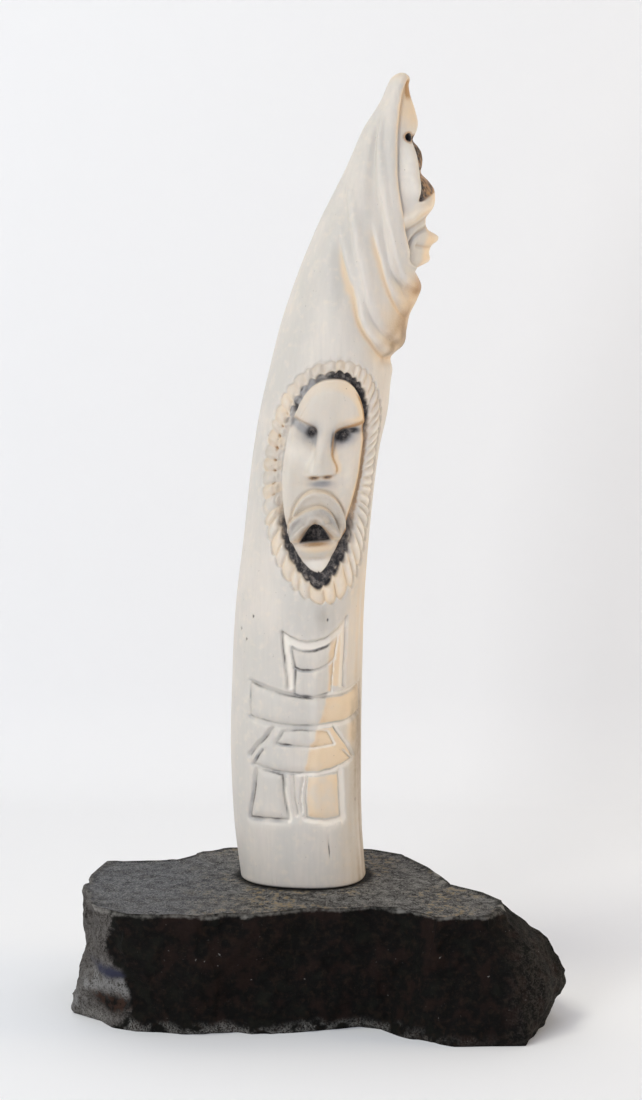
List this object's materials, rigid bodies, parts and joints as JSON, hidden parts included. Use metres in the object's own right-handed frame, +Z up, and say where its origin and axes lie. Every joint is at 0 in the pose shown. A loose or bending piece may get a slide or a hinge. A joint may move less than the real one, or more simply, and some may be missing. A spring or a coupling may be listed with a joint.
{
  "type": "carved tusk sculpture",
  "caption": "Carved tusk standing on a rough dark stone: a hooded head in profile at the tip, an open-mouthed mask in a fur ruff, and an incised stacked-stone landmark.",
  "frame": {"origin": "middle of the stone's bounding box, at its underside", "axes": "+Z up along the tusk, -Y out of the carved front, +X toward the side that the hooded head faces"},
  "size_m": [0.193, 0.12, 0.3627],
  "materials": {
    "tusk": "smooth, dull polish, warm off-white with peach and ochre in the cuts",
    "stone": "rough broken stone, nearly black on its sides, greyer on top"
  },
  "bodies": {
    "root": {"tusk": "tusk", "stone_base": "stone"}
  },
  "joints": []
}
